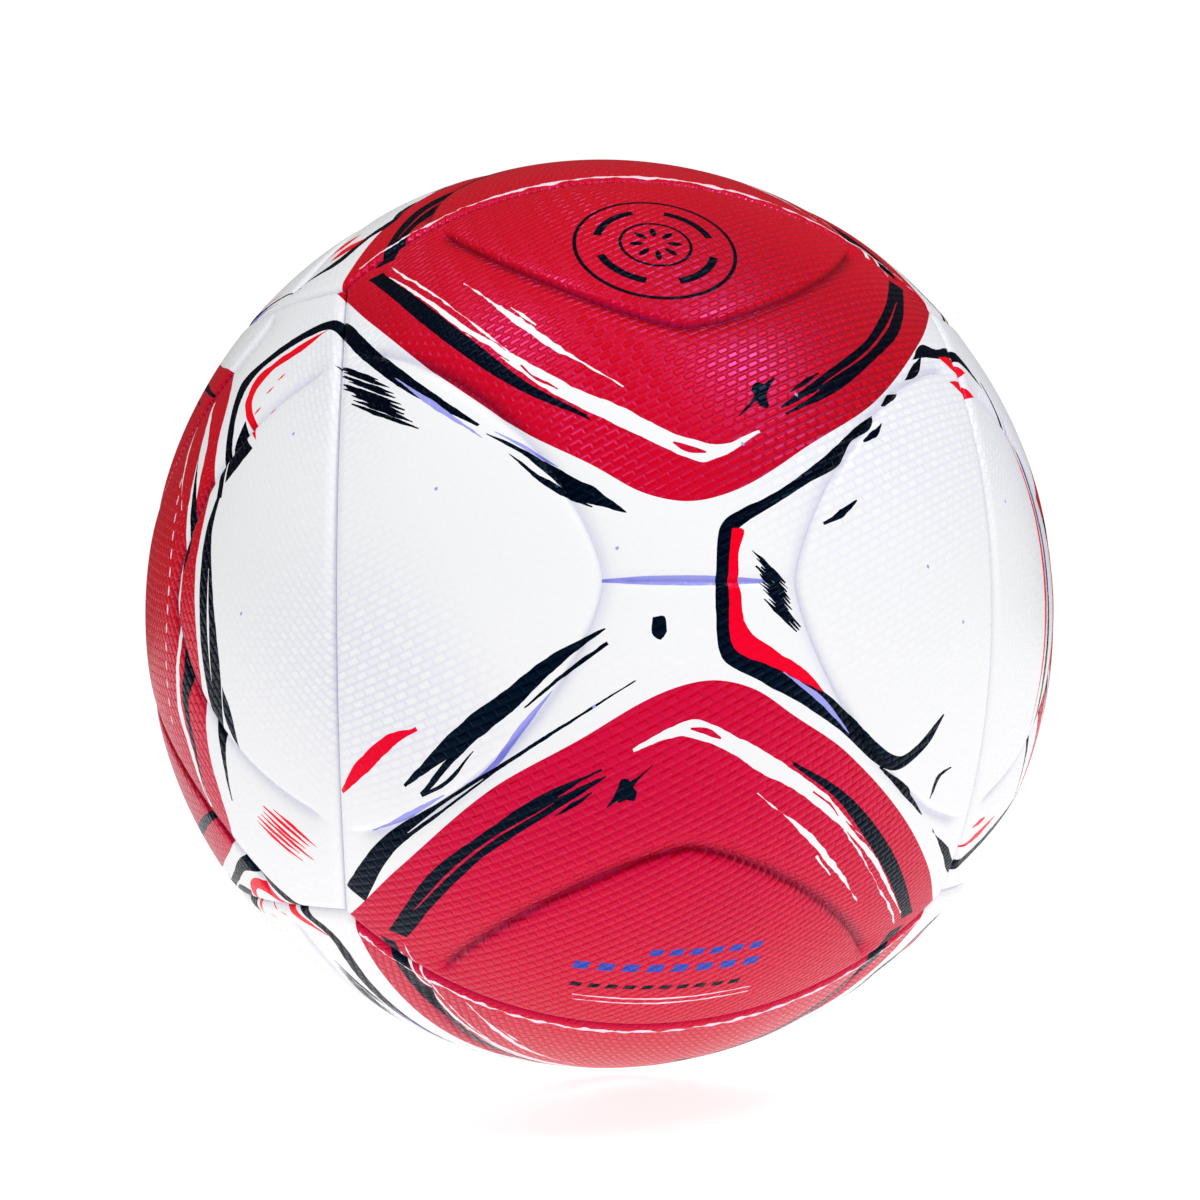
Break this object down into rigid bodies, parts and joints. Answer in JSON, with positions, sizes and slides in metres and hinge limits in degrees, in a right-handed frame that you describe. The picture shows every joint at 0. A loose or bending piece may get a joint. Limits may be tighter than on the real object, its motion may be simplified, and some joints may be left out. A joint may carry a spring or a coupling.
{
  "type": "soccer ball",
  "caption": "Size 5 soccer ball: bonded panels on foam backings, a sewn textile lining, a butyl bladder and a needle valve with a removable core.",
  "frame": {"origin": "centre of the ball", "axes": "+Z through the valve, -Y through the middle of the front panel, +X to the right seen from the front"},
  "size_m": [0.2196, 0.2196, 0.2192],
  "materials": {
    "cover_white": "printed synthetic leather, satin, finely embossed",
    "backing_foam": "closed-cell foam",
    "lining_textile": "plain woven polyester and cotton",
    "bladder_butyl": "matt butyl rubber",
    "valve_rubber": "moulded rubber",
    "core_silicone": "satin silicone"
  },
  "bodies": {
    "ball": {"panel_front": "cover_white", "panel_back": "cover_white", "panel_left": "cover_white", "panel_right": "cover_white", "panel_top": "cover_white", "panel_bottom": "cover_white", "foam_front": "backing_foam", "foam_back": "backing_foam", "foam_left": "backing_foam", "foam_right": "backing_foam", "foam_top": "backing_foam", "foam_bottom": "backing_foam", "lining_upper_1": "lining_textile", "lining_upper_2": "lining_textile", "lining_upper_3": "lining_textile", "lining_upper_4": "lining_textile", "lining_lower_1": "lining_textile", "lining_lower_2": "lining_textile", "lining_lower_3": "lining_textile", "lining_lower_4": "lining_textile", "bladder": "bladder_butyl", "counterweight_patch": "bladder_butyl", "valve_housing": "valve_rubber"},
    "valve_core": {"valve_core": "core_silicone"}
  },
  "joints": [
    {"name": "core_slide", "type": "slide", "parent": "ball", "child": "valve_core", "axis": [0, 0, 1], "range_m": [0, 0.02]}
  ]
}
